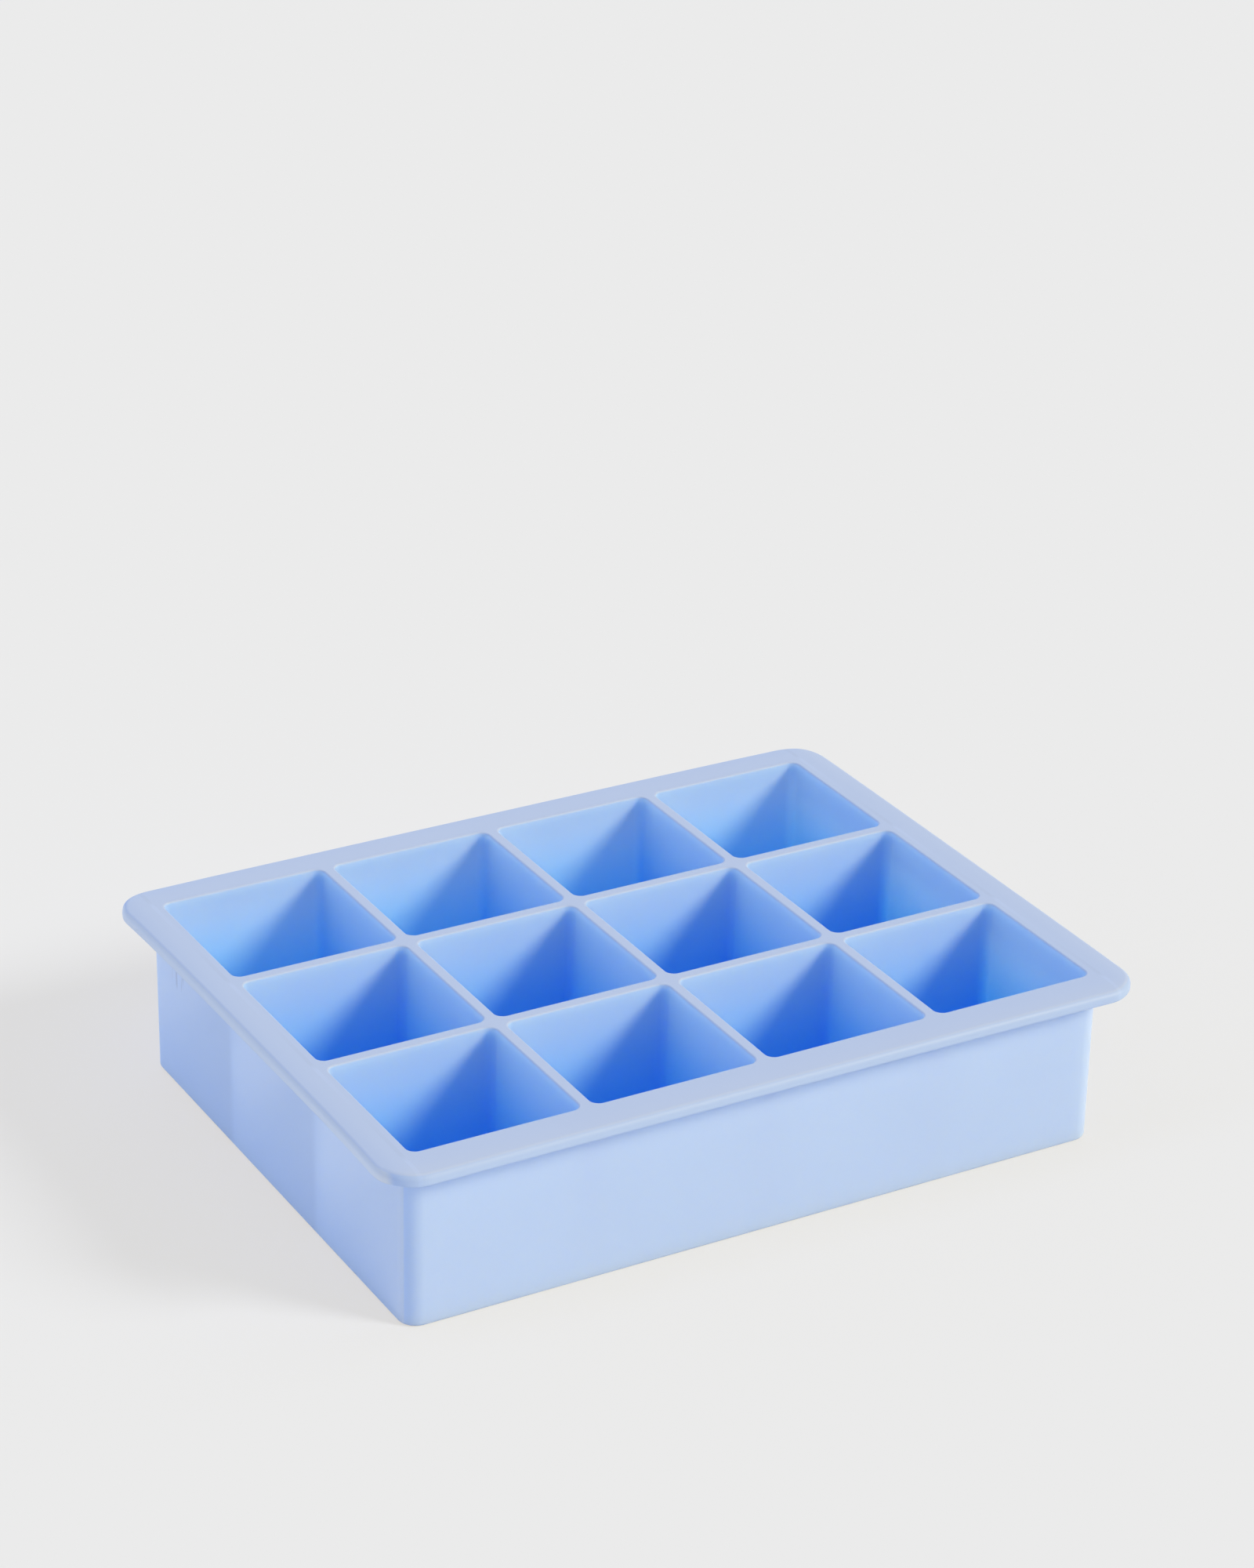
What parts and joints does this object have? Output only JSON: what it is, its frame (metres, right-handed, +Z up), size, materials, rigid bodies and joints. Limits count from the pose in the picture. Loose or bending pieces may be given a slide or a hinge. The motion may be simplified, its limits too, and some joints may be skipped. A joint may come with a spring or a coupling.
{
  "type": "ice cube tray",
  "caption": "Rectangular silicone tray of deep square open moulds for large ice cubes, with a flat base and a wide rolled rim.",
  "frame": {"origin": "centre of the underside, on the table", "axes": "+X along the long side, +Y along the short side, +Z up out of the moulds"},
  "size_m": [0.2094, 0.1614, 0.046],
  "materials": {
    "silicone": "matte, slightly translucent pale blue silicone"
  },
  "bodies": {
    "root": {"tray": "silicone"}
  },
  "joints": []
}
